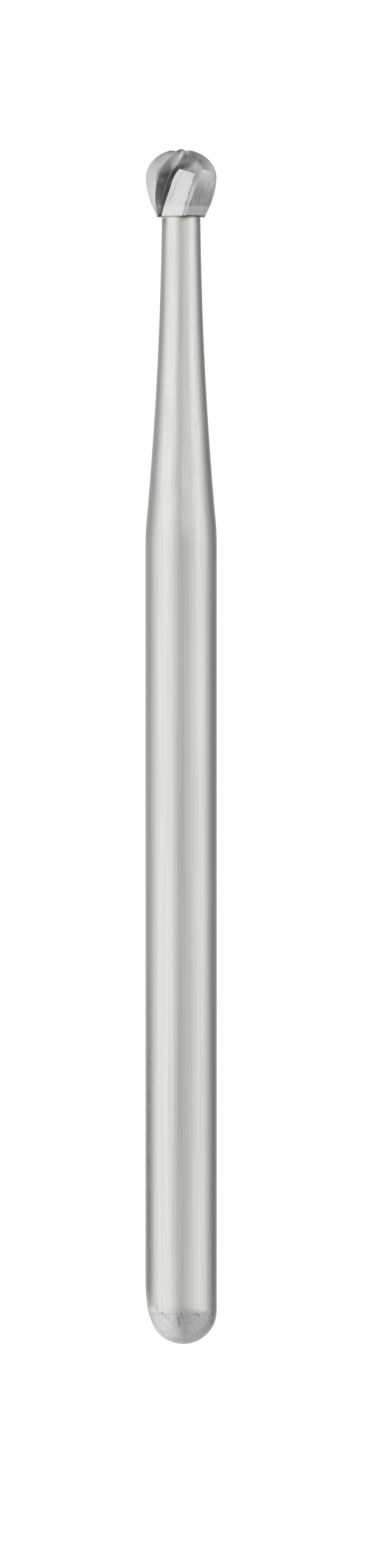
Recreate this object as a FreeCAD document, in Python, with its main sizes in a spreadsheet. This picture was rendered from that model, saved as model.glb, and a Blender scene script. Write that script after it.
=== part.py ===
import FreeCAD, Part
import math
import os

import Sketcher

# Friction-grip carbide burr: a six-bladed carbide head brazed to the neck of a turned steel shank.
# Millimetres, +Z along the axis towards the cutting tip. The origin is on the axis where the
# straight grip begins, just above the rounded end. Angles about the axis are measured from +X.

V = FreeCAD.Vector
NORMAL = V(0, 0, 1)

# Driving dimensions, as alias: value.
SIZES = {
    # steel shank
    "shank_diameter": 1.60,
    "grip_length": 17.05,
    "end_height": 0.88,
    "end_inset": 0.048,
    "shoulder_blend": 6.0,
    "neck_curve": 86.0,
    "neck_diameter": 0.865,
    "neck_length": 7.32,
    # braze seam
    "seam_thickness": 0.03,
    "seam_spread": 0.03,
    "seam_curve": 0.05,
    # carbide head: outline
    "ball_diameter": 1.62,
    "crown_height": 0.683,
    "base_depth": 0.84,
    "flank_curve": 1.85,
    # carbide head: blades
    "helix_lead": 16.8,
    "first_edge_angle": -68.4,
    "first_pitch": 58.0,
    "second_pitch": 60.0,
    "tip_twist": 13.0,
    "waist_depth": 0.29,
    "crease_height": 0.160,
    "crown_gash_height": 0.50,
    "blade_end_height": 0.635,
    # carbide head: centre point where the blades run together
    "point_foot_diameter": 0.27,
    "point_flat_diameter": 0.06,
}

# The gash between two blades, at six levels of the head from its base to the ends of the blades.
# Depths are below the head's outline. Shares are parts of the pitch from one edge to the next.
LEVELS = ("base", "waist", "middle", "crease", "crown", "tip")
GASH = {
    "foot_depth": (0.062, 0.246, 0.350, 0.420, 0.361, 0.168),
    "floor_width": (0.020, 0.030, 0.045, 0.050, 0.100, 0.070),
    "heel_depth": (0.051, 0.237, 0.232, 0.200, 0.251, 0.121),
    "heel_share": (0.080, 0.280, 0.350, 0.505, 0.800, 0.920),
}
FOOT_SHARE_AT_TIP = 0.25

# How many sections the head is drawn through between the levels.
BODY_STEPS = (2, 2, 2)
CROWN_STEPS = (3, 2)


def make_sheet(doc):
    """The spreadsheet that holds every driving dimension under its own alias."""
    sheet = doc.addObject("Spreadsheet::Sheet", "sizes")
    cells = dict(SIZES)
    for name, values in GASH.items():
        for level, value in zip(LEVELS, values):
            cells[name + "_" + level] = value
    cells["foot_share_tip"] = FOOT_SHARE_AT_TIP
    for row, (alias, value) in enumerate(cells.items(), start=1):
        sheet.set("A%d" % row, alias)
        sheet.set("B%d" % row, str(value))
        sheet.setAlias("B%d" % row, alias)
    doc.recompute()
    return sheet


def new_body(doc, label):
    """An empty body and a sketch on its XZ plane, which is where a turned profile is drawn."""
    body = doc.addObject("PartDesign::Body", label)
    body.Label = label
    plane = next(f for f in body.Origin.OriginFeatures if f.Role == "XZ_Plane")
    sketch = body.newObject("Sketcher::SketchObject", label + "_profile")
    sketch.AttachmentSupport = [(plane, "")]
    sketch.MapMode = "FlatFace"
    return body, sketch


def revolve(body, sketch):
    """A full turn of the sketch about the body's axis."""
    feature = body.newObject("PartDesign::Revolution", body.Label + "_turned")
    feature.Profile = sketch
    feature.ReferenceAxis = (sketch, ["V_Axis"])
    feature.Angle = 360.0
    body.Tip = feature
    return feature


def arc(centre, radius, start, end):
    """An anticlockwise arc of a sketch, its angles in radians."""
    return Part.ArcOfCircle(Part.Circle(centre, NORMAL, radius), start, end)


def join(sketch, first, first_end, second, second_end):
    sketch.addConstraint(Sketcher.Constraint("Coincident", first, first_end, second, second_end))


def tangent(sketch, first, first_end, second, second_end):
    sketch.addConstraint(Sketcher.Constraint("Tangent", first, first_end, second, second_end))


def bind(sketch, name, constraint, expression):
    """Adds a dimension to a sketch and ties it to the sheet."""
    index = sketch.addConstraint(constraint)
    sketch.renameConstraint(index, name)
    sketch.setExpression("Constraints." + name, expression)


def on_axis(sketch, line, end):
    """Puts a point of a sketch on the turning axis."""
    vertical_axis = -2
    sketch.addConstraint(Sketcher.Constraint("PointOnObject", line, end, vertical_axis))


def make_steel_shank(doc, sheet):
    """Shank, flared neck and rounded end, turned from one rod."""
    body, sketch = new_body(doc, "steel_shank")
    start, end, centre = 1, 2, 3
    radius = sheet.shank_diameter / 2
    nose_radius = radius - sheet.end_inset
    seat = sheet.grip_length + sheet.neck_length

    tip = V(0, -sheet.end_height)
    grip_low = V(radius, 0)
    grip_high = V(radius, sheet.grip_length)
    seat_rim = V(sheet.neck_diameter / 2, seat)
    seat_centre = V(0, seat)

    nose_centre = tip + V(0, nose_radius)
    to_grip = grip_low - nose_centre
    taper = math.acos(min(1.0, nose_radius / to_grip.Length))
    nose_angle = math.atan2(to_grip.y, to_grip.x) - taper
    nose_edge = nose_centre + V(math.cos(nose_angle), math.sin(nose_angle)) * nose_radius

    # The hollow curve of the neck touches the round shoulder where both lean by the same angle.
    drop = sheet.neck_length
    lean = (radius - sheet.neck_diameter / 2) / drop + drop / (2 * sheet.neck_curve)
    shoulder_centre = grip_high - V(sheet.shoulder_blend, 0)
    shoulder_top = shoulder_centre + V(math.cos(lean), math.sin(lean)) * sheet.shoulder_blend
    neck_centre = shoulder_top + V(math.cos(lean), math.sin(lean)) * sheet.neck_curve
    to_rim = seat_rim - neck_centre
    rim_angle = math.atan2(to_rim.y, to_rim.x) % (2 * math.pi)

    half_turn = math.pi
    nose = sketch.addGeometry(arc(nose_centre, nose_radius, -half_turn / 2, nose_angle))
    cone = sketch.addGeometry(Part.LineSegment(nose_edge, grip_low))
    grip = sketch.addGeometry(Part.LineSegment(grip_low, grip_high))
    shoulder = sketch.addGeometry(arc(shoulder_centre, sheet.shoulder_blend, 0, lean))
    neck = sketch.addGeometry(arc(neck_centre, sheet.neck_curve, rim_angle, half_turn + lean))
    face = sketch.addGeometry(Part.LineSegment(seat_rim, seat_centre))
    axis = sketch.addGeometry(Part.LineSegment(seat_centre, tip))

    tangent(sketch, nose, end, cone, start)
    join(sketch, cone, end, grip, start)
    tangent(sketch, grip, end, shoulder, start)
    tangent(sketch, shoulder, end, neck, end)
    join(sketch, neck, start, face, start)
    join(sketch, face, end, axis, start)
    join(sketch, axis, end, nose, start)
    on_axis(sketch, nose, centre)
    on_axis(sketch, axis, start)
    on_axis(sketch, axis, end)
    sketch.addConstraint(Sketcher.Constraint("Horizontal", face))
    sketch.addConstraint(Sketcher.Constraint("Vertical", grip))

    bind(sketch, "end_radius", Sketcher.Constraint("Radius", nose, nose_radius),
         "sizes.shank_diameter / 2 - sizes.end_inset")
    bind(sketch, "end_height", Sketcher.Constraint("DistanceY", nose, start, cone, end,
                                                   sheet.end_height), "sizes.end_height")
    bind(sketch, "grip_radius", Sketcher.Constraint("DistanceX", -1, 1, grip, start, radius),
         "sizes.shank_diameter / 2")
    sketch.addConstraint(Sketcher.Constraint("PointOnObject", grip, start, -1))
    bind(sketch, "grip_length", Sketcher.Constraint("DistanceY", grip, start, grip, end,
                                                    sheet.grip_length), "sizes.grip_length")
    bind(sketch, "shoulder_blend", Sketcher.Constraint("Radius", shoulder, sheet.shoulder_blend),
         "sizes.shoulder_blend")
    bind(sketch, "neck_curve", Sketcher.Constraint("Radius", neck, sheet.neck_curve),
         "sizes.neck_curve")
    bind(sketch, "seat_radius", Sketcher.Constraint("DistanceX", -1, 1, face, start,
                                                    sheet.neck_diameter / 2),
         "sizes.neck_diameter / 2")
    bind(sketch, "neck_length", Sketcher.Constraint("DistanceY", grip, end, face, start, drop),
         "sizes.neck_length")
    revolve(body, sketch)
    return body


def make_braze_seam(doc, sheet):
    """The thin layer of braze between neck and head, with its hollow rim."""
    body, sketch = new_body(doc, "braze_seam")
    start, end = 1, 2
    neck = sheet.neck_diameter / 2
    low_centre, low_rim = V(0, 0), V(neck, 0)
    high_rim = V(neck + sheet.seam_spread, sheet.seam_thickness)
    high_centre = V(0, sheet.seam_thickness)

    # The rim's arc bulges inwards, so its centre is out past the rim and low.
    chord = high_rim - low_rim
    rise = math.sqrt(sheet.seam_curve ** 2 - (chord.Length / 2) ** 2)
    outwards = V(chord.y, -chord.x).normalize()
    middle = (low_rim + high_rim) * 0.5 + outwards * rise
    high_angle = math.atan2(high_rim.y - middle.y, high_rim.x - middle.x)
    low_angle = math.atan2(low_rim.y - middle.y, low_rim.x - middle.x) % (2 * math.pi)

    bottom = sketch.addGeometry(Part.LineSegment(low_centre, low_rim))
    rim = sketch.addGeometry(arc(middle, sheet.seam_curve, high_angle, low_angle))
    top = sketch.addGeometry(Part.LineSegment(high_rim, high_centre))
    axis = sketch.addGeometry(Part.LineSegment(high_centre, low_centre))

    join(sketch, bottom, end, rim, end)
    join(sketch, rim, start, top, start)
    join(sketch, top, end, axis, start)
    join(sketch, axis, end, bottom, start)
    join(sketch, bottom, start, -1, 1)
    on_axis(sketch, axis, start)
    sketch.addConstraint(Sketcher.Constraint("Horizontal", bottom))
    sketch.addConstraint(Sketcher.Constraint("Horizontal", top))

    bind(sketch, "neck_radius", Sketcher.Constraint("DistanceX", bottom, start, bottom, end, neck),
         "sizes.neck_diameter / 2")
    bind(sketch, "thickness", Sketcher.Constraint("DistanceY", bottom, end, top, start,
                                                  sheet.seam_thickness), "sizes.seam_thickness")
    bind(sketch, "spread", Sketcher.Constraint("DistanceX", bottom, end, top, start,
                                               sheet.seam_spread), "sizes.seam_spread")
    bind(sketch, "curve", Sketcher.Constraint("Radius", rim, sheet.seam_curve), "sizes.seam_curve")
    revolve(body, sketch)
    body.setExpression("Placement.Base.z", "sizes.grip_length + sizes.neck_length")
    return body


def outline_radius(sheet, height):
    """Radius of the head's outline at a height above its widest circle.

    A flattened crown above, and below it a gently curved flank.
    """
    ball = sheet.ball_diameter / 2
    if height >= 0:
        return ball * math.sqrt(max(0.0, 1 - (height / sheet.crown_height) ** 2))
    return ball - sheet.flank_curve + math.sqrt(sheet.flank_curve ** 2 - height ** 2)


def level_heights(sheet):
    """Heights of the six levels, measured from the head's widest circle."""
    return (-sheet.base_depth, -sheet.waist_depth, 0.0, sheet.crease_height,
            sheet.crown_gash_height, sheet.blade_end_height)


def gash_at(sheet, height):
    """The gash's sizes at a height, read between the two nearest levels.

    The depths give the radius of its foot and of the heel behind it at each level.
    """
    heights = level_heights(sheet)
    upper = 1
    while upper < len(heights) - 1 and height > heights[upper]:
        upper += 1
    share = (height - heights[upper - 1]) / (heights[upper] - heights[upper - 1])
    sizes = {}
    for name in GASH:
        low = getattr(sheet, name + "_" + LEVELS[upper - 1])
        high = getattr(sheet, name + "_" + LEVELS[upper])
        if name.endswith("_depth"):
            low = outline_radius(sheet, heights[upper - 1]) - low
            high = outline_radius(sheet, heights[upper]) - high
        sizes[name.replace("_depth", "_radius")] = low + (high - low) * share
    crown = max(0.0, (height - heights[3]) / (heights[5] - heights[3]))
    sizes["foot_share"] = sheet.foot_share_tip * crown ** 4
    return sizes


def head_section(sheet, height):
    """The head's cross-section: six edges, each followed by the gash in front of it."""
    outline = outline_radius(sheet, height)
    gash = gash_at(sheet, height)
    foot = gash["foot_radius"]
    heel = gash["heel_radius"]
    pitches = (sheet.first_pitch, sheet.second_pitch,
               180 - sheet.first_pitch - sheet.second_pitch)
    level = sheet.grip_length + sheet.neck_length + sheet.seam_thickness + sheet.base_depth + height
    # the helix angle stays the same on the surface, so the blades twist more towards the tip
    angle = sheet.first_edge_angle + 360 * height / sheet.helix_lead
    angle += sheet.tip_twist * max(0.0, height / sheet.crown_height) ** 3
    points = []
    for pitch in pitches * 2:
        foot_angle = angle + gash["foot_share"] * pitch
        floor_turn = math.degrees(gash["floor_width"] / foot)
        corners = (
            (outline, angle),
            (foot, foot_angle),
            (foot, foot_angle + floor_turn),
            (heel, angle + gash["heel_share"] * pitch),
        )
        for radius, turn in corners:
            turn = math.radians(turn)
            points.append(V(radius * math.cos(turn), radius * math.sin(turn), level))
        angle += pitch
    return Part.makePolygon(points + points[:1])


def stations(levels, steps):
    """Heights of the sections: each level, and evenly spaced ones between them."""
    heights = []
    for low, high, count in zip(levels, levels[1:], steps):
        heights += [low + (high - low) * i / count for i in range(count)]
    return heights + [levels[-1]]


def make_loft(doc, sheet, name, heights):
    """A smooth solid through the head's sections at the given heights."""
    sections = []
    for count, height in enumerate(heights, start=1):
        section = doc.addObject("Part::Feature", "%s_section_%d" % (name, count))
        section.Shape = head_section(sheet, height)
        sections.append(section)
    loft = doc.addObject("Part::Loft", name)
    loft.Sections = sections
    loft.Solid = True
    loft.Ruled = False
    return loft


def make_carbide_head(doc, sheet):
    """Ball-nosed head with six helical blades, ground from one blank."""
    heights = level_heights(sheet)
    body = make_loft(doc, sheet, "head_body", stations(heights[:4], BODY_STEPS))
    crown = make_loft(doc, sheet, "head_crown", stations(heights[3:], CROWN_STEPS))

    point = doc.addObject("Part::Cone", "head_point")
    point.setExpression("Radius1", "sizes.point_foot_diameter / 2")
    point.setExpression("Radius2", "sizes.point_flat_diameter / 2")
    point.setExpression("Height", "sizes.crown_height - sizes.blade_end_height")
    point.setExpression("Placement.Base.z", "sizes.grip_length + sizes.neck_length"
                        " + sizes.seam_thickness + sizes.base_depth + sizes.blade_end_height")

    head = doc.addObject("Part::MultiFuse", "carbide_head")
    head.Label = "carbide_head"
    head.Shapes = [body, crown, point]
    head.Refine = True
    return head


def check(doc, parts):
    """Stops if a feature failed or a sub-part has no sound solid."""
    for item in doc.Objects:
        if "Invalid" in item.State or "Error" in item.State:
            raise RuntimeError("feature failed: " + item.Name)
    for part in parts:
        shape = part.Shape
        if shape.isNull() or not shape.isValid() or len(shape.Solids) != 1:
            raise RuntimeError("not one sound solid: " + part.Label)


def main():
    doc = FreeCAD.newDocument("carbide_burr")
    sheet = make_sheet(doc)
    parts = [
        make_steel_shank(doc, sheet),
        make_braze_seam(doc, sheet),
        make_carbide_head(doc, sheet),
    ]
    doc.recompute()
    check(doc, parts)
    os.makedirs("parts", exist_ok=True)
    for part in parts:
        part.Shape.exportStep("parts/" + part.Label + ".step")
        box = part.Shape.BoundBox
        print(part.Label, "volume %.4f" % part.Shape.Volume, "faces", len(part.Shape.Faces),
              "z %.3f to %.3f" % (box.ZMin, box.ZMax), "width %.3f" % box.XLength)


main()
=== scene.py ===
import math

import bpy
import numpy as np
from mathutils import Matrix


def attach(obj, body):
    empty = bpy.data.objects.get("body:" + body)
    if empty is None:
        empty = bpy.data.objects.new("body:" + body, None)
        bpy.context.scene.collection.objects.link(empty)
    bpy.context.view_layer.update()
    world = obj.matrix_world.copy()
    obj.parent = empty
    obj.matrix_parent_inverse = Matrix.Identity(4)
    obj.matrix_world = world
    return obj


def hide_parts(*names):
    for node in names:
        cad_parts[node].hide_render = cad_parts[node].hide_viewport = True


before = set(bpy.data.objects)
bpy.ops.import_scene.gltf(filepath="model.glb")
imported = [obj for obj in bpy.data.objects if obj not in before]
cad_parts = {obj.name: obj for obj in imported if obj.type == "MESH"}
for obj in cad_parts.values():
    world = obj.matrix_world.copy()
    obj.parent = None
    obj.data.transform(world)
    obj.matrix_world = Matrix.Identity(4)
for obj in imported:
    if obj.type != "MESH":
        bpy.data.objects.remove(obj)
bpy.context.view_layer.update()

MM = 0.001
TURN = 2 * math.pi

# Sizes of the solids, in millimetres and degrees. The rounded end lies below height 0 and
# the grip above it.
SHANK_R = 0.80
GRIP_LENGTH = 17.05
END_HEIGHT = 0.88
END_R = 0.752
SHOULDER_BLEND = 6.0
NECK_CURVE = 86.0
NECK_R = 0.4325
NECK_LENGTH = 7.32
SEAM = 0.03
BALL_R = 0.81
CROWN = 0.683
BASE_DEPTH = 0.84
FLANK_CURVE = 1.85
LEAD = 16.8
TIP_TWIST = 13.0
FIRST_EDGE = -68.4
PITCHES = (58.0, 60.0, 62.0) * 2
CREASE = 0.160
BLADE_END = 0.635
SEAT = GRIP_LENGTH + NECK_LENGTH
HEAD_BASE = SEAT + SEAM
EQUATOR = HEAD_BASE + BASE_DEPTH

# The gash in front of each edge, at six heights of the head above its widest circle.
HEIGHTS = (-BASE_DEPTH, -0.29, 0.0, CREASE, 0.50, BLADE_END)
FOOT_DEPTH = (0.062, 0.246, 0.350, 0.420, 0.361, 0.168)
FLOOR_WIDTH = (0.020, 0.030, 0.045, 0.050, 0.100, 0.070)
HEEL_DEPTH = (0.051, 0.237, 0.232, 0.200, 0.251, 0.121)
HEEL_SHARE = (0.080, 0.280, 0.350, 0.505, 0.800, 0.920)
FOOT_SHARE_AT_TIP = 0.25

# Forms that only the scene has, in millimetres and degrees.
END_ARC = 72                # how much of the rounded end is a plain arc
STRAIGHT_FROM = -0.02       # the height where the grip is straight again
END_SHIFT = 0.048           # how far the tip of the rounded end is worn to one side
SHIFT_DEPTH = 0.40          # the depth below the grip where all of that is reached
WEAR_TOP = 0.45             # the height where the wear of its left side begins
WEAR_LENGTH = 0.65          # and over what length it grows
LUMPS = 0.003
LUMPS_DEPTH = 0.12
SEAM_INSET = 0.0015         # the seam starts inside the neck
SEAM_CREEP = 0.045          # how far the braze has run down the neck
SEAM_LIP = 0.042            # and out under the head
LIP_SIDE = 190
CREASE_SLANT = 0.055        # how much lower the crease is at an edge, and higher at a heel
SLANT_REACH = 0.22
CHIP_REACH = 0.014          # how far from the edge a chip is felt
POINT_FROM = 0.29           # the radius where the blades begin to run into the raised point
HOLLOW_FROM = 0.25          # where they drop into the hollow round it
HOLLOW_WIDTH = 0.11
HOLLOW_DEPTH = 0.045
POINT_R = 0.13
POINT_BLEND = 0.12
POINT_RINGS = ((0.10, 0.640), (0.075, 0.656), (0.055, 0.671), (0.03, 0.680))


# Mesh helpers

def link_mesh(name, verts, faces, uv=None, stain_and_painted_light=None):
    """An object from points in millimetres, with a map and, for each point, a value of stain and
    of painted light and shade.
    """
    mesh = bpy.data.meshes.new(name)
    mesh.from_pydata((np.asarray(verts) * MM).tolist(), [], faces)
    # the rings of quads are smooth; the fans of triangles that close them stay flat
    mesh.polygons.foreach_set("use_smooth", [len(f) == 4 for f in faces])
    if uv is not None:
        layer = mesh.uv_layers.new(name="along")
        loops = np.empty(len(mesh.loops), dtype=np.int32)
        mesh.loops.foreach_get("vertex_index", loops)
        layer.data.foreach_set("uv", np.asarray(uv, dtype=np.float32)[loops].ravel())
    if stain_and_painted_light is not None:
        layer = mesh.attributes.new("stain_and_painted_light", "FLOAT", "POINT")
        layer.data.foreach_set("value", np.asarray(stain_and_painted_light, dtype=np.float32))
    mesh.update()
    obj = bpy.data.objects.new(name, mesh)
    bpy.context.scene.collection.objects.link(obj)
    return obj


def closed_faces(rings, around):
    """Rings of quads, closed by fans round the first and the last point."""
    faces = []
    for i in range(rings - 1):
        low, high = 1 + i * around, 1 + (i + 1) * around
        for j in range(around):
            k = (j + 1) % around
            faces.append((low + j, low + k, high + k, high + j))
    last = 1 + (rings - 1) * around
    for j in range(around):
        k = (j + 1) % around
        faces.append((0, 1 + k, 1 + j))
        faces.append((last + around, last + j, last + k))
    return faces


def degrees_apart(angle, centre):
    """Signed distance in degrees from an angle in radians to a centre in degrees."""
    return (np.degrees(angle) - centre + 180) % 360 - 180


def smooth(share):
    """A soft step from 0 to 1."""
    share = min(1.0, max(0.0, share))
    return share * share * (3 - 2 * share)


def wave_noise(angle, height, seed, turns):
    """Smooth periodic noise of about unit size on a turned surface."""
    local = np.random.default_rng(seed)
    total = np.zeros(np.broadcast(angle, height).shape)
    for _ in range(14):
        n = local.integers(0, turns + 1)
        k = local.normal(0, 1)
        total += np.sin(n * angle + k * height + local.uniform(0, TURN))
    return total / math.sqrt(7)


# Shank

def neck_lean():
    """The slope where the shoulder's arc passes into the neck's, which ends at the seat."""
    low, high = 0.0, 0.3
    for _ in range(40):
        lean = (low + high) / 2
        top_r = SHANK_R - SHOULDER_BLEND * (1 - math.cos(lean))
        over = (SHOULDER_BLEND + NECK_CURVE) * math.sin(lean) - NECK_LENGTH
        end_r = top_r + NECK_CURVE * math.cos(lean) - math.sqrt(NECK_CURVE ** 2 - over ** 2)
        low, high = (lean, high) if end_r > NECK_R else (low, lean)
    return lean


def shank_outline():
    """Radius and height of the shank's outline, from the rounded end up to the seat."""
    points = []
    nose_z = -END_HEIGHT + END_R
    for a in np.radians(np.linspace(-90, END_ARC - 90, 80))[1:]:
        points.append((END_R * math.cos(a), nose_z + END_R * math.sin(a)))
    # a soft turn from the ball-shaped end into the straight side
    start, stop = np.array(points[-1]), np.array((SHANK_R, STRAIGHT_FROM))
    handles = (start, start + (0.034, 0.105), stop - (0, 0.13), stop)
    for s in np.linspace(0, 1, 16)[1:]:
        weights = ((1 - s) ** 3, 3 * s * (1 - s) ** 2, 3 * s ** 2 * (1 - s), s ** 3)
        points.append(tuple(sum(w * p for w, p in zip(weights, handles))))
    for z in np.concatenate((np.linspace(0.02, 0.5, 13), np.linspace(0.8, GRIP_LENGTH, 58))):
        points.append((SHANK_R, z))
    lean = neck_lean()
    centre_r = SHANK_R - SHOULDER_BLEND
    for a in np.linspace(0, lean, 14)[1:]:
        points.append((centre_r + SHOULDER_BLEND * math.cos(a),
                       GRIP_LENGTH + SHOULDER_BLEND * math.sin(a)))
    top_r, top_z = points[-1]
    neck_r = top_r + NECK_CURVE * math.cos(lean)
    neck_z = top_z + NECK_CURVE * math.sin(lean)
    for z in np.linspace(top_z, SEAT, 60)[1:]:
        points.append((neck_r - math.sqrt(NECK_CURVE ** 2 - (neck_z - z) ** 2), z))
    # closer rings under the seat; the last of them keeps its rim crisp
    rim_r = points[-1][0]
    for below in (0.1, 0.08, 0.06, 0.04, 0.02, 0.001):
        points.insert(-1, (rim_r, SEAT - below))
    return points


# Dark smudges round the tumbled end, and painted shade under the head and a darker reflection
# painted on the left of the neck: angle about the axis, height, half-widths, strength.
SMUDGES_AND_SHADE = (
    # the first two are painted shade under the head, the next a darker reflection painted on the
    # left of the neck
    (-79, SEAT + 0.01, 8.0, 0.05, 1.0), (-68, SEAT + 0.01, 22.0, 0.045, 0.50),
    (-149, SEAT - 0.05, 9.0, 0.16, 0.45),
    (-135, -0.06, 4.0, 0.030, 0.60), (-132, -0.11, 3.0, 0.025, 0.60),
    (-125, -0.17, 2.0, 0.04, 0.70), (-121, -0.25, 1.5, 0.05, 0.70), (-118, -0.32, 1.3, 0.06, 0.55),
    (-92, -0.20, 2.6, 0.05, 0.80), (-98, -0.30, 3.0, 0.07, 0.85), (-97, -0.42, 2.5, 0.09, 0.65),
    (-82, -0.24, 10.0, 0.05, 0.20), (-88, -0.60, 6.0, 0.12, 0.30),
    (-66, -0.18, 4.0, 0.018, 1.0), (-61, -0.215, 3.0, 0.025, 1.0), (-48, -0.18, 4.0, 0.022, 0.70),
    (-36, -0.30, 2.0, 0.10, 0.60), (-26, -0.32, 2.6, 0.11, 1.0), (-28, -0.20, 4.0, 0.04, 0.70),
    (-105, -0.78, 20.0, 0.05, 0.35), (-75, -0.80, 20.0, 0.05, 0.30),
    (-34, -0.42, 16.0, 0.22, 0.26), (-88, -0.34, 9.0, 0.16, 0.22), (-18, -0.45, 5.0, 0.12, 0.40),
    (10, -0.20, 6.0, 0.08, 0.60), (40, -0.15, 8.0, 0.04, 0.70), (75, -0.30, 5.0, 0.12, 0.70),
    (105, -0.18, 9.0, 0.05, 0.65), (130, -0.45, 8.0, 0.15, 0.50), (160, -0.14, 7.0, 0.05, 0.70),
    (190, -0.30, 4.0, 0.13, 0.60),
)
# Dull lines along the lower grip: angle about the axis, half-width, strength. They set in
# between the heights of DULL_RISE and fade out between those of DULL_FADE.
DULL_LINES = ((-155, 9.0, 0.72), (-25, 6.0, 0.22), (30, 8.0, 0.35), (98, 7.0, 0.30))
DULL_RISE = (-0.05, 0.30)
DULL_FADE = (3.0, 10.0)


def smudge_and_shade(angle, z):
    """How dark the shank is at points of one ring."""
    total = np.zeros_like(angle)
    for centre, height, wide, tall, strength in SMUDGES_AND_SHADE:
        aside = degrees_apart(angle, centre)
        total += strength * np.exp(-(aside / wide) ** 2 - ((z - height) / tall) ** 2)
    length = (smooth((z - DULL_RISE[0]) / (DULL_RISE[1] - DULL_RISE[0]))
              * smooth((DULL_FADE[1] - z) / (DULL_FADE[1] - DULL_FADE[0])))
    for centre, wide, strength in DULL_LINES:
        total += strength * length * np.exp(-(degrees_apart(angle, centre) / wide) ** 2)
    return np.clip(total, 0, 1)


def make_shank():
    outline = shank_outline()
    around = 224
    angle = np.linspace(0, TURN, around, endpoint=False)
    verts, uv, stain_and_painted_light = [(END_SHIFT, 0, -END_HEIGHT)], [(0, 0)], [0]
    for r, z in outline:
        worn, aside = 0.0, 0.0
        if z < WEAR_TOP:
            # the tumbled end: slightly lumpy, and worn more on its left side
            depth = LUMPS * min(1.0, max(0.0, -z / LUMPS_DEPTH))
            worn = np.minimum(depth * wave_noise(angle, z * 14, 3, 9), 0.0)
            aside = END_SHIFT * smooth(-z / SHIFT_DEPTH)
            left = np.clip(np.cos(angle - math.pi), 0, 1) ** 2
            worn = worn - (END_SHIFT * smooth((WEAR_TOP - z) / WEAR_LENGTH) - aside) * left
        stain_and_painted_light += list(smudge_and_shade(angle, z))
        for a, q in zip(angle, np.broadcast_to(r + worn, angle.shape)):
            verts.append((q * math.cos(a) + aside, q * math.sin(a), z))
            uv.append((a / TURN, z))
    verts.append((0, 0, SEAT))
    uv.append((0, SEAT))
    stain_and_painted_light.append(0)
    faces = closed_faces(len(outline), around)
    obj = link_mesh("shank_ground", verts, faces, uv, stain_and_painted_light)
    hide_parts("steel_shank")
    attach(obj, "root")
    return obj


# Braze seam

def make_seam():
    around, steps = 160, 14
    angle = np.linspace(0, TURN, around, endpoint=False)
    # the braze has crept a little way down the neck and out under the head, mostly on the left
    uneven = 0.5 + 0.5 * np.cos(angle - math.radians(LIP_SIDE))
    uneven = np.clip(uneven ** 16 * (1 + 0.1 * wave_noise(angle, 0, 8, 7)), 0.01, 1)
    low = SEAT - SEAM_CREEP * uneven
    verts, uv, stain_and_painted_light = [(0, 0, SEAT - 0.002)], [(0, 0)], [0]
    for i in range(steps):
        s = i / (steps - 1)
        # a hollow rim, steepest at its outer edge
        flare = (1 - math.sqrt(1 - 0.97 * s ** 2)) / (1 - math.sqrt(0.03))
        radius = NECK_R - SEAM_INSET + SEAM_LIP * uneven * flare
        # the head shades the last of it
        stain_and_painted_light += list(0.1 + 0.5 * s + smudge_and_shade(angle, SEAT + 0.01))
        for a, q, z in zip(angle, radius, low + (HEAD_BASE - low) * s):
            verts.append((q * math.cos(a), q * math.sin(a), z))
            uv.append((a / TURN, s))
    verts.append((0, 0, HEAD_BASE))
    uv.append((0, 1))
    stain_and_painted_light.append(1)
    obj = link_mesh("seam_rim", verts, closed_faces(steps, around), uv, stain_and_painted_light)
    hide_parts("braze_seam")
    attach(obj, "root")
    return obj


# Carbide head

def outline_radius(z):
    """Radius of the head's outline at a height above its widest circle."""
    if z >= 0:
        return BALL_R * math.sqrt(max(0.0, 1 - (z / CROWN) ** 2))
    return BALL_R - FLANK_CURVE + math.sqrt(FLANK_CURVE ** 2 - z ** 2)


def outline_height(radius):
    """Height of the head's dome at a radius."""
    return CROWN * math.sqrt(1 - (radius / BALL_R) ** 2)


# The four sides of a tooth. For each, the number of points along it, the number at the corner
# before it, that corner's rounding, and how far the side bulges.
SIDES = ("rake", "floor", "wall", "relief")
SIDE_STEPS = (12, 3, 8, 18)
CORNER_STEPS = (5, 4, 4, 5)
CORNER_CUTS = (0.006, 0.016, 0.014, 0.022)
BULGES = (-0.010, 0.0, -0.006, 0.016)
# The map's first value is millimetres along a side, plus these for each side and tooth.
SIDE_SHIFT = 3
TOOTH_SHIFT = 20


def level_radius(depths):
    return [outline_radius(z) - depth for z, depth in zip(HEIGHTS, depths)]


def eased(z, values):
    """A value read between the six levels, with soft turns except at the crease."""
    reach = min(0.1, abs(CREASE - z))
    samples = np.interp(z + np.linspace(-reach, reach, 9), HEIGHTS, values)
    return float(samples.mean())


def edge_angle(z, tooth):
    twist = 360 * z / LEAD + TIP_TWIST * max(0.0, z / CROWN) ** 3
    return FIRST_EDGE + twist + sum(PITCHES[:tooth])


def spot(radius, degrees, z):
    a = math.radians(degrees)
    return np.array((radius * math.cos(a), radius * math.sin(a), z))


def tooth_corners(z, tooth):
    """Cutting edge, foot of the cutting face, far side of the floor, and heel."""
    pitch = PITCHES[tooth % 6]
    slant = CREASE_SLANT * math.exp(-((z - CREASE) / SLANT_REACH) ** 2)
    low, high = z - slant, z + slant
    foot_r = eased(z, level_radius(FOOT_DEPTH))
    heel_r = eased(z, level_radius(HEEL_DEPTH))
    crown = max(0.0, (z - CREASE) / (BLADE_END - CREASE))
    foot = edge_angle(z, tooth) + FOOT_SHARE_AT_TIP * crown ** 4 * pitch
    turn = math.degrees(eased(z, FLOOR_WIDTH) / foot_r)
    heel = edge_angle(high, tooth) + eased(z, HEEL_SHARE) * pitch
    return [spot(outline_radius(low), edge_angle(low, tooth), low),
            spot(foot_r, foot, z), spot(foot_r, foot + turn, z), spot(heel_r, heel, high)]


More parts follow.
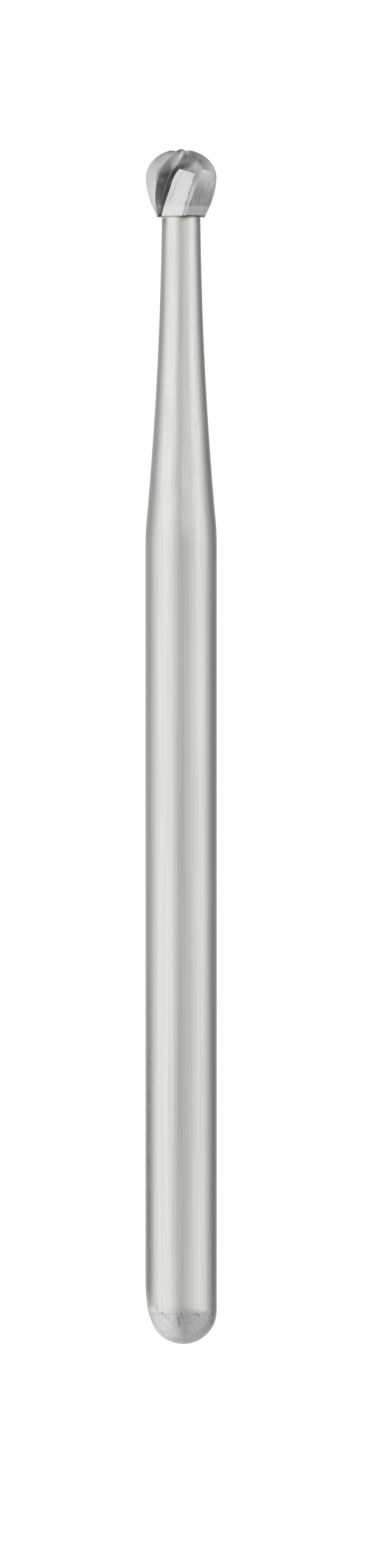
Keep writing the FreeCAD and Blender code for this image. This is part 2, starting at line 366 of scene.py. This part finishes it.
def bend(p, q, r, cut, steps):
    """A small rounded corner at q on the way from p to r."""
    into, out = q - p, r - q
    a = min(cut, 0.42 * np.linalg.norm(into))
    b = min(cut, 0.42 * np.linalg.norm(out))
    start = q - into / max(np.linalg.norm(into), 1e-9) * a
    end = q + out / max(np.linalg.norm(out), 1e-9) * b
    return [(1 - s) ** 2 * start + 2 * s * (1 - s) * q + s ** 2 * end
            for s in np.linspace(0, 1, steps)]


def head_ring(z):
    """Points of one section, and for each its tooth, side and distance along that side."""
    corners = [c for tooth in range(6) for c in tooth_corners(z, tooth)]
    count = len(corners)
    points, along = [], []
    for i in range(count):
        before, here = corners[i - 1], corners[i]
        after, far = corners[(i + 1) % count], corners[(i + 2) % count]
        side = i % 4
        rounded = bend(before, here, after, CORNER_CUTS[side], CORNER_STEPS[side])
        entering = bend(here, after, far, CORNER_CUTS[(side + 1) % 4], 2)[0]
        leaving = rounded[-1]
        run = entering - leaving
        normal = np.array((run[1], -run[0], 0.0))
        length = max(np.linalg.norm(run), 1e-9)
        # a cutting face is a touch hollow, the relief behind an edge a touch round
        bulge = BULGES[side] * min(1.0, length / 0.3)
        straight = [leaving + run * s + normal / length * bulge * 4 * s * (1 - s)
                    for s in np.linspace(0, 1, SIDE_STEPS[side] + 2)[1:-1]]
        half = CORNER_STEPS[side] // 2
        mark = after if side in (0, 2) else here
        for number, point in enumerate(rounded + straight):
            owner, origin = side, mark
            if number < half:
                owner = (side - 1) % 4
                origin = here if owner in (0, 2) else before
            points.append(point)
            along.append(owner * SIDE_SHIFT + i // 4 * TOOTH_SHIFT
                         + float(np.linalg.norm(point - origin)))
    return np.array(points), np.array(along)


# Chips that show from the front: tooth, height, depth, half its length.
CHIPS = (
    (4, -0.625, 0.040, 0.022), (4, -0.115, 0.008, 0.010), (4, -0.060, 0.010, 0.012),
    (4, 0.020, 0.006, 0.010), (4, 0.300, 0.006, 0.012), (5, -0.590, 0.012, 0.020),
    (5, -0.440, 0.008, 0.015), (5, -0.180, 0.008, 0.020), (5, 0.050, 0.010, 0.015),
    (0, -0.560, 0.012, 0.020), (0, -0.330, 0.016, 0.018), (0, -0.230, 0.010, 0.012),
    (0, -0.020, 0.010, 0.016), (0, 0.080, 0.008, 0.012),
)
# How dark the line of painted shade along the edge of these teeth is where it is whole.
EDGE_SHADE_LINES = {0: 0.25, 5: 0.15}


def chip_depth(height, tooth):
    """How far an edge is worn back along its length: a fine raggedness and a few chips."""
    local = np.random.default_rng(70 + tooth)
    depth = np.zeros_like(height)
    for wave in local.uniform(20, 70, 12):
        depth += np.sin(height * wave + local.uniform(0, TURN))
    depth = np.clip(0.001 * depth, 0, 0.005)
    chips = [chip[1:] for chip in CHIPS if chip[0] == tooth]
    if not chips:
        # the teeth behind have theirs by chance
        chips = zip(local.uniform(-0.75, 0.45, 6), local.uniform(0.004, 0.012, 6),
                    local.uniform(0.008, 0.02, 6))
    for at, size, reach in chips:
        depth += size * np.exp(-((height - at) / reach) ** 2)
    return depth


# Painted light and shade on each ground face, from its base to the crown: 0 leaves it as it is, 1
# is painted dark, more than 1 nearly black and less than 0 a painted highlight. The faces seen
# from the front have their own levels.
LIGHT_AND_SHADE_HEIGHTS = (-0.84, -0.615, -0.60, -0.35, -0.10, 0.12, 0.155, 0.165, 0.24, 0.35, 0.50, 0.62)
FACE_LIGHT_AND_SHADE = {
    (4, "rake"): (0.1, 0.0, -0.3, -0.8, -0.9, -1.0, -1.0, -1.0, -1.0, -0.9, -0.5, 0.6),
    (5, "rake"): (0.8, 0.2, 0.45, 0.6, 0.4, -0.1, -0.2, -0.3, -0.5, -0.6, 0.0, 0.5),
    (5, "floor"): (0.9, 0.9, 1.0, 0.9, 0.9, 1.0, 1.0, 1.0, 0.5, -0.7, -0.9, 0.5),
    (5, "wall"): (0.5, 0.6, 0.8, 0.9, 1.0, 1.4, 1.4, 1.4, 1.3, 0.6, 0.5, 0.6),
    (5, "relief"): (-0.6, -0.55, -0.2, 0.0, 0.0, 0.05, 0.1, 0.75, 0.6, 0.1, 0.35, 0.1),
    (0, "rake"): (0.0, 0.0, 0.3, 0.3, 0.3, 0.3, 0.3, 0.3, 0.2, 0.1, 0.0, 0.0),
    (0, "floor"): (0.0, 0.0, -1.0, -0.2, -0.2, -0.8, -0.8, -0.8, -0.8, -0.5, 0.0, 0.0),
    (0, "wall"): (-1.0, -0.8, -0.2, -0.2, -0.5, -1.0, -1.0, -1.0, -1.0, -0.5, -0.2, 0.0),
    (0, "relief"): (0.25, 0.35, 0.65, 0.7, 0.45, 0.2, 0.15, 0.1, 0.0, 0.05, 0.2, 0.4),
}
OTHER_FACE_SHADE = {"rake": 0.4, "floor": 0.3, "wall": 0.45, "relief": 0.2}


def painted_light_at(along, z):
    """The painted light and shade at a place along one section, whose map value names its tooth
    and side.
    """
    tooth = int(along // TOOTH_SHIFT) % 6
    side = int(along % TOOTH_SHIFT // SIDE_SHIFT)
    levels = FACE_LIGHT_AND_SHADE.get((tooth, SIDES[side]))
    if levels is None:
        # the faces of the other teeth get an even painted shade for each side, fading towards the
        # crown, where the faces look alike
        return OTHER_FACE_SHADE[SIDES[side]] * np.interp(z, (0.1, 0.45, 0.6), (1.0, 0.3, 0.1))
    return np.interp(z, LIGHT_AND_SHADE_HEIGHTS, levels)


def make_head():
    levels = np.concatenate((np.linspace(-BASE_DEPTH, CREASE - 0.012, 170),
                             np.linspace(CREASE - 0.006, CREASE + 0.006, 5),
                             np.linspace(CREASE + 0.012, BLADE_END, 80)))
    chips = [chip_depth(levels, tooth) for tooth in range(6)]
    # the middle of the base is painted dark: painted shade under the head
    verts, uv, stain_and_painted_light = [(0, 0, HEAD_BASE)], [(0, 0)], [0.8]
    for row, z in enumerate(levels):
        ring, along = head_ring(z)
        light_and_shade = np.array([painted_light_at(v, z) for v in along])
        for tooth in range(6):
            chip = chips[tooth][row]
            edge = tooth_corners(z, tooth)[0]
            away = np.linalg.norm(ring - edge, axis=1)
            pull = chip * np.exp(-(away / CHIP_REACH) ** 2)
            ring[:, :2] *= (1 - pull / np.hypot(ring[:, 0], ring[:, 1]))[:, None]
            # a thin dark line along each edge: painted shade where the edge is whole, and darker
            # at its real chips
            worn = EDGE_SHADE_LINES.get(tooth, 0.0) * (1 + 2 * min(1.0, chip / 0.012))
            worn = max(worn, min(1.0, chip / 0.025))
            light_and_shade += worn * np.exp(-(away / (0.011 + 0.5 * chip)) ** 2)
        # and a line of painted shade along the rim of the base
        light_and_shade += 1.3 * math.exp(-((z + BASE_DEPTH) / 0.016) ** 2)
        stain_and_painted_light += list(light_and_shade)
        for (x, y, h), share in zip(ring, along):
            verts.append((x, y, max(EQUATOR + h, HEAD_BASE)))
            uv.append((share, z))
    # the blades run together into a small raised point
    polar = np.arctan2(ring[:, 1], ring[:, 0])
    radius = np.hypot(ring[:, 0], ring[:, 1])
    for reach in np.linspace(POINT_FROM, POINT_R, 9):
        # each blade follows the outline inwards, then drops to the hollow round the point
        drop = HOLLOW_DEPTH * np.clip((HOLLOW_FROM - reach) / HOLLOW_WIDTH, 0, 1) ** 1.5
        top = outline_height(reach) - drop
        for a, q, v in zip(polar, radius, along):
            share = min(1.0, max(0.0, (q - POINT_R) / POINT_BLEND))
            rise = BLADE_END + (top - BLADE_END) * share
            q = min(q, reach)
            verts.append((q * math.cos(a), q * math.sin(a), EQUATOR + rise))
            uv.append((v, rise + POINT_FROM - reach))
    for q, z in POINT_RINGS:
        for a, v in zip(polar, along):
            verts.append((q * math.cos(a), q * math.sin(a), EQUATOR + z))
            uv.append((v, z + 0.1))
    around = len(ring)
    rings = (len(verts) - 1) // around
    verts.append((0, 0, EQUATOR + CROWN))
    uv.append((0, CROWN))
    stain_and_painted_light += [0] * (len(verts) - len(stain_and_painted_light))
    obj = link_mesh("head_ground", verts, closed_faces(rings, around), uv, stain_and_painted_light)
    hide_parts("carbide_head")
    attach(obj, "root")
    return obj


# Materials

class Nodes:
    """A small helper to write the node tree of a material or a world in a few lines."""

    def __init__(self, owner):
        owner.use_nodes = True
        self.owner = owner
        self.tree = owner.node_tree
        self.shader = self.tree.nodes.get("Principled BSDF")

    def add(self, kind, **inputs):
        node = self.tree.nodes.new(kind)
        for key, value in inputs.items():
            self.plug(node, key, value)
        return node

    def plug(self, node, key, value):
        """Link or set an input, named by its name or its number."""
        socket = node.inputs[key]
        if hasattr(value, "is_output"):
            self.tree.links.new(value, socket)
        else:
            socket.default_value = value

    def math(self, operation, a, b=0.0, clamp=False):
        node = self.tree.nodes.new("ShaderNodeMath")
        node.operation = operation
        node.use_clamp = clamp
        self.plug(node, 0, a)
        self.plug(node, 1, b)
        return node.outputs[0]

    def part(self, vector, number):
        """One of the three values of a vector."""
        return self.add("ShaderNodeSeparateXYZ", Vector=vector).outputs[number]

    def scaled(self, vector, scale):
        return self.add("ShaderNodeMapping", Vector=vector, Scale=scale).outputs[0]

    def noise(self, vector, scale, detail, rough):
        node = self.add("ShaderNodeTexNoise", Vector=self.scaled(vector, scale), Scale=1.0,
                        Detail=detail, Roughness=rough)
        return node.outputs[0]

    def spread(self, value, low, high, to_low=0.0, to_high=1.0):
        node = self.tree.nodes.new("ShaderNodeMapRange")
        for key, item in zip(("Value", "From Min", "From Max", "To Min", "To Max"),
                             (value, low, high, to_low, to_high)):
            self.plug(node, key, item)
        return node.outputs[0]

    def mix(self, factor, a, b):
        node = self.tree.nodes.new("ShaderNodeMix")
        node.data_type = "RGBA"
        # sockets 1 to 5 belong to the other data types
        self.plug(node, 0, factor)
        self.plug(node, 6, a)
        self.plug(node, 7, b)
        return node.outputs[2]

    def mix_shaders(self, factor, a, b):
        node = self.tree.nodes.new("ShaderNodeMixShader")
        for number, value in enumerate((factor, a, b)):
            self.plug(node, number, value)
        return node.outputs[0]

    def ramp(self, value, stops):
        """A grey level read along a list of (place from 0 to 1, level)."""
        node = self.add("ShaderNodeValToRGB", Fac=value)
        node.color_ramp.interpolation = "B_SPLINE"
        elements = node.color_ramp.elements
        while len(elements) < len(stops):
            elements.new(0.5)
        for element, (place, level) in zip(elements, stops):
            element.position = place
            element.color = grey(level)
        return node.outputs[0]

    def bump(self, height, distance, normal=None):
        node = self.add("ShaderNodeBump", Height=height, Distance=distance, Strength=1.0)
        if normal is not None:
            self.plug(node, "Normal", normal)
        return node.outputs[0]

    # the per-point value of stain and of painted light and shade
    def stain_and_painted_light(self):
        node = self.tree.nodes.new("ShaderNodeAttribute")
        node.attribute_name = "stain_and_painted_light"
        return node.outputs["Fac"]

    def object_mm(self):
        coord = self.add("ShaderNodeTexCoord")
        return self.scaled(coord.outputs["Object"], (1 / MM, 1 / MM, 1 / MM))


def grey(value, yellow=0.0):
    return (value, value, value - yellow, 1)


def new_material(name):
    return Nodes(bpy.data.materials.new(name))


def shank_material():
    n = new_material("ground_steel")
    place = n.object_mm()
    z = n.part(place, 2)
    lines = n.noise(place, (14, 14, 0.16), 3.0, 0.6)
    fine = n.noise(place, (26, 26, 0.3), 1.0, 0.5)
    blotch = n.noise(place, (1.2, 1.2, 0.25), 3.0, 0.5)
    mottle = n.noise(place, (9, 9, 9), 4.0, 0.65)
    pits = n.noise(place, (5, 5, 8), 3.0, 0.6)
    # the tumbled end begins at a ragged border
    border = n.math("ADD", z, n.math("MULTIPLY", n.math("SUBTRACT", pits, 0.5), 0.22))
    end = n.spread(border, -0.13, -0.21)
    plain = n.mix(n.spread(lines, 0.35, 0.68), grey(0.72, 0.007), grey(0.82, 0.008))
    plain = n.mix(n.spread(blotch, 0.4, 0.7, 0, 0.25), plain, grey(0.86, 0.008))
    fibres = n.noise(place, (16, 16, 4), 4.0, 0.65)
    worn = n.mix(n.spread(fibres, 0.34, 0.66), grey(0.63), grey(0.77))
    rim = n.math("MULTIPLY", end, n.math("SUBTRACT", 1.0, end))
    rim = n.math("MULTIPLY", rim, n.spread(mottle, 0.44, 0.60, 0.0, 2.0))
    worn = n.mix(rim, worn, grey(0.25))
    # smudges on the tumbled end, and the painted shade under the head and on the left of the neck,
    # darken the steel
    smudges_and_shade = n.math("MULTIPLY", n.stain_and_painted_light(), n.spread(mottle, 0.35, 0.6, 0.5, 1.0))
    clean = n.mix(end, plain, worn)
    n.plug(n.shader, "Base Color", n.mix(n.math("MULTIPLY", smudges_and_shade, 0.75), clean,
                                         grey(0.13, 0.012)))
    n.shader.inputs["Metallic"].default_value = 1.0
    rough = n.spread(fine, 0.3, 0.7, 0.24, 0.32)
    rough = n.math("ADD", rough, n.math("MULTIPLY", end, 0.12))
    rough = n.math("SUBTRACT", rough, n.spread(z, SEAT - 0.12, SEAT - 0.03, 0.0, 0.16))
    n.plug(n.shader, "Roughness", rough)
    low = n.bump(lines, 0.0010 * MM)
    low = n.bump(fine, 0.0004 * MM, low)
    relief = n.math("MULTIPLY", mottle, end)
    n.plug(n.shader, "Normal", n.bump(relief, 0.0045 * MM, low))
    return n.owner


def seam_material():
    n = new_material("braze_metal")
    place = n.object_mm()
    mottle = n.noise(place, (14, 14, 14), 3.0, 0.6)
    tone = n.mix(n.spread(mottle, 0.35, 0.65), grey(0.66, 0.004), grey(0.80, 0.004))
    # painted shade under the head, darkest at the top of the seam
    shade = n.math("MULTIPLY", n.stain_and_painted_light(), 0.7, True)
    n.plug(n.shader, "Base Color", n.mix(shade, tone, grey(0.2, 0.004)))
    n.shader.inputs["Metallic"].default_value = 1.0
    n.plug(n.shader, "Roughness", n.spread(mottle, 0.3, 0.7, 0.20, 0.28))
    n.plug(n.shader, "Normal", n.bump(mottle, 0.003 * MM))
    return n.owner


# Long scratches on the front relief: distance from its heel, half-width, strength.
SCRATCHES = ((0.115, 0.012, 0.50), (0.155, 0.007, 0.45), (0.245, 0.005, 0.25))
SCRATCHED_SIDE = 5 * TOOTH_SHIFT + 3 * SIDE_SHIFT


def head_material():
    n = new_material("ground_carbide")
    place = n.object_mm()
    node = n.add("ShaderNodeUVMap")
    node.uv_map = "along"
    uv = node.outputs[0]
    streaks = n.noise(uv, (55, 3.0, 1), 3.0, 0.6)
    wide = n.noise(uv, (16, 1.4, 1), 2.0, 0.5)
    grain = n.noise(place, (26, 26, 26), 3.0, 0.6)
    tone = n.mix(n.spread(streaks, 0.32, 0.68), grey(0.66), grey(0.79))
    tone = n.mix(n.spread(wide, 0.5, 0.72, 0, 0.4), tone, grey(0.56))
    tone = n.mix(n.spread(grain, 0.56, 0.75, 0, 0.25), tone, grey(0.45))
    # the colour of the painted shade on the faces: a dark streaked grey, clouded and scratched
    painted_shade_colour = n.mix(n.spread(streaks, 0.40, 0.62), grey(0.05, 0.002), grey(0.26, 0.003))
    cloud = n.noise(place, (13, 13, 9), 5.0, 0.7)
    along = n.part(uv, 0)
    # the reliefs, on the last side of each tooth, are smoother than the cutting faces
    relief = 3.0 * SIDE_SHIFT
    coarse = n.spread(n.math("MODULO", along, TOOTH_SHIFT), relief - 0.1, relief, 1.0, 0.25)
    cloud = n.math("MULTIPLY", n.spread(cloud, 0.47, 0.64, 0.0, 0.45), coarse)
    painted_shade_colour = n.mix(cloud, painted_shade_colour, grey(0.38))
    scratch = n.noise(uv, (90, 1.6, 1), 2.0, 0.5)
    scratch = n.math("MULTIPLY", n.spread(scratch, 0.60, 0.68, 0.0, 0.7), coarse)
    painted_shade_colour = n.mix(scratch, painted_shade_colour, grey(0.55))
    # past 1 the painted shade goes nearly black
    painted_shade_colour = n.mix(n.spread(n.stain_and_painted_light(), 1.0, 1.4, 0.0, 0.75), painted_shade_colour, grey(0.03))
    bands = n.noise(uv, (26, 1.1, 1), 3.0, 0.6)
    patchy = n.spread(bands, 0.3, 0.7, -0.12, 0.12)
    stain_and_painted_light = n.stain_and_painted_light()
    # how much of the painted shade covers each place
    painted_shade_share = n.math("MULTIPLY", n.math("ADD", stain_and_painted_light, patchy), n.spread(stain_and_painted_light, 0.0, 0.3), True)
    wander = n.noise(uv, (0.0, 4.0, 1), 3.0, 0.6)
    for distance, reach, strength in SCRATCHES:
        off = n.math("SUBTRACT", along, SCRATCHED_SIDE + distance)
        off = n.math("ADD", off, n.math("MULTIPLY", n.math("SUBTRACT", wander, 0.5), 0.05))
        line = n.spread(n.math("ABSOLUTE", off), reach, reach * 0.3, 0.0, strength)
        tone = n.mix(n.math("MULTIPLY", line, n.spread(bands, 0.38, 0.58)), tone, grey(0.18))
    # values below 0 are a painted highlight, which lightens the face towards white
    clean = n.math("MULTIPLY", stain_and_painted_light, -1.0, True)
    tone = n.mix(clean, tone, grey(0.95))
    n.plug(n.shader, "Base Color", n.mix(painted_shade_share, tone, painted_shade_colour))
    # where the painted highlight lightens a face, it is also made less metallic, so that it takes
    # up more light
    n.plug(n.shader, "Metallic", n.math("SUBTRACT", 1.0, n.math("MULTIPLY", clean, 0.8)))
    n.plug(n.shader, "Roughness", n.spread(grain, 0.3, 0.7, 0.24, 0.36))
    low = n.bump(streaks, 0.0015 * MM)
    n.plug(n.shader, "Normal", n.bump(grain, 0.0015 * MM, low))
    return n.owner


# Studio

# The room that the metal sees: its level by degrees round the part, with 0 in front of it,
# negative on the left and 180 behind it, and the share of that level by height, from 0
# straight below the part to 1 straight above.
ROOM = ((-180, 0.62), (-157, 0.54), (-131, 0.27), (-112, 0.44), (-92, 0.74), (-66, 1.18),
        (-44, 1.06), (-24, 0.88), (-6, 0.42), (6, 0.46), (26, 0.66), (46, 0.90), (66, 1.06),
        (82, 0.90), (100, 0.48), (128, 0.08), (150, 0.30), (168, 0.55), (180, 0.62))
ROOM_BY_HEIGHT = ((0.0, 1.0), (0.70, 1.0), (0.78, 0.75), (0.86, 0.32), (1.0, 0.24))
# Its lower part is softer, and evenly grey straight underneath.
LOWER_ROOM = ((-180, 0.58), (-150, 0.84), (-130, 0.98), (-110, 0.98), (-90, 0.98), (-70, 0.98),
              (-50, 0.92), (-30, 0.76), (-12, 0.48), (10, 0.44), (30, 0.50), (50, 0.56),
              (70, 0.66), (90, 0.62), (110, 0.50), (128, 0.40), (150, 0.55), (180, 0.58))
LOWER_BY_HEIGHT = ((0.0, 1.0), (0.37, 1.0), (0.43, 0.92), (0.475, 0.12), (0.492, 0.0), (1.0, 0.0))
UNDERNEATH = 0.53
UNDERNEATH_BY_HEIGHT = ((0.0, 1.0), (0.04, 0.9), (0.16, 0.1), (0.22, 0.0), (1.0, 0.0))
# Soft reflectors above the camera, high in front to the left, and high on the right: the
# direction of each, the cosine at its rim, and its levels from the rim to the middle.
REFLECTORS = (
    ((0.193, -0.907, 0.375), 0.935, (0.0, 0.12, 0.32, 0.38)),
    ((-0.287, -0.410, 0.866), 0.87, (0.0, 0.25, 0.60, 0.75)),
    ((0.624, 0.332, 0.707), 0.82, (0.0, 0.12, 0.30, 0.36)),
)
REFLECTOR_STEPS = (0.0, 0.4, 0.75, 1.0)
FLOOR_R = 500.0
FLOOR_Z = -300.0
CAMERA = (0.031, -385.0, 11.679)
FRAME_HEIGHT = 35.17


def make_world():
    """White for the camera; for the metal, a soft grey room with brighter panels."""
    world = bpy.data.worlds.new("studio")
    bpy.context.scene.world = world
    n = Nodes(world)
    n.tree.nodes.clear()
    coord = n.add("ShaderNodeTexCoord")
    split = n.add("ShaderNodeSeparateXYZ", Vector=coord.outputs["Generated"])
    x, y, z = split.outputs
    turn = n.math("DIVIDE", n.math("ARCTAN2", x, n.math("MULTIPLY", y, -1.0)), TURN)
    azimuth = n.math("ADD", turn, 0.5)
    rise = n.math("ADD", n.math("DIVIDE", n.math("ARCSINE", z), math.pi), 0.5)

    def blend(share, a, b):
        return n.math("ADD", n.math("MULTIPLY", a, n.math("SUBTRACT", 1.0, share)),
                      n.math("MULTIPLY", share, b))

    high, low = (n.ramp(azimuth, [(0.5 + d / 360, v) for d, v in levels])
                 for levels in (ROOM, LOWER_ROOM))
    high = n.math("MULTIPLY", high, n.ramp(rise, ROOM_BY_HEIGHT))
    low = blend(n.ramp(rise, UNDERNEATH_BY_HEIGHT), low, UNDERNEATH)
    level = blend(n.ramp(rise, LOWER_BY_HEIGHT), high, low)
    for aim, rim, levels in REFLECTORS:
        parts = [n.math("MULTIPLY", value, share) for value, share in zip((x, y, z), aim)]
        facing = n.math("ADD", n.math("ADD", parts[0], parts[1]), parts[2])
        stops = [(rim + (1 - rim) * s, v) for s, v in zip(REFLECTOR_STEPS, levels)]
        level = n.math("ADD", level, n.ramp(facing, [(0.0, 0.0)] + stops))

    rays = n.add("ShaderNodeLightPath")
    seen = n.add("ShaderNodeBackground", Color=grey(1))
    room = n.add("ShaderNodeBackground", Color=level)
    n.add("ShaderNodeOutputWorld", Surface=n.mix_shaders(
        rays.outputs["Is Camera Ray"], room.outputs[0], seen.outputs[0]))


def make_floor():
    """A round pale floor well below the part, which is held up by its grip."""
    count = 96
    rim = [(FLOOR_R * math.cos(a), FLOOR_R * math.sin(a), FLOOR_Z)
           for a in np.linspace(0, TURN, count, endpoint=False)]
    floor = link_mesh("floor", rim, [tuple(range(count))])
    n = new_material("pale_floor")
    n.plug(n.shader, "Base Color", grey(0.9))
    n.plug(n.shader, "Roughness", 0.9)
    glow = n.add("ShaderNodeEmission", Color=grey(1), Strength=1.0)
    clear = n.add("ShaderNodeBsdfTransparent")
    pale = n.mix_shaders(0.9, n.shader.outputs[0], glow.outputs[0])
    # it lies so far below that the part reflects the studio instead, and its underside is
    # clear, so that it doesn't hide the part from a camera below it
    rays = n.add("ShaderNodeLightPath")
    side = n.add("ShaderNodeNewGeometry")
    shown = n.math("GREATER_THAN", rays.outputs["Is Camera Ray"], side.outputs["Backfacing"])
    n.plug(n.tree.nodes["Material Output"], "Surface",
           n.mix_shaders(shown, clear.outputs[0], pale))
    floor.data.materials.append(n.owner)


def make_camera():
    """Level, opposite the middle of the part; its frame is FRAME_HEIGHT tall at the axis."""
    camera = bpy.data.cameras.new("camera")
    camera.sensor_fit = "VERTICAL"
    camera.sensor_height = 24.0
    camera.angle_y = 2 * math.atan(FRAME_HEIGHT / 2 / -CAMERA[1])
    camera.clip_start = 10 * MM
    obj = bpy.data.objects.new("camera", camera)
    obj.location = [value * MM for value in CAMERA]
    obj.rotation_euler = (math.radians(90), 0, 0)
    bpy.context.scene.collection.objects.link(obj)
    bpy.context.scene.camera = obj


make_shank().data.materials.append(shank_material())
make_seam().data.materials.append(seam_material())
make_head().data.materials.append(head_material())
make_world()
make_floor()
make_camera()
bpy.context.scene.view_settings.view_transform = "Standard"
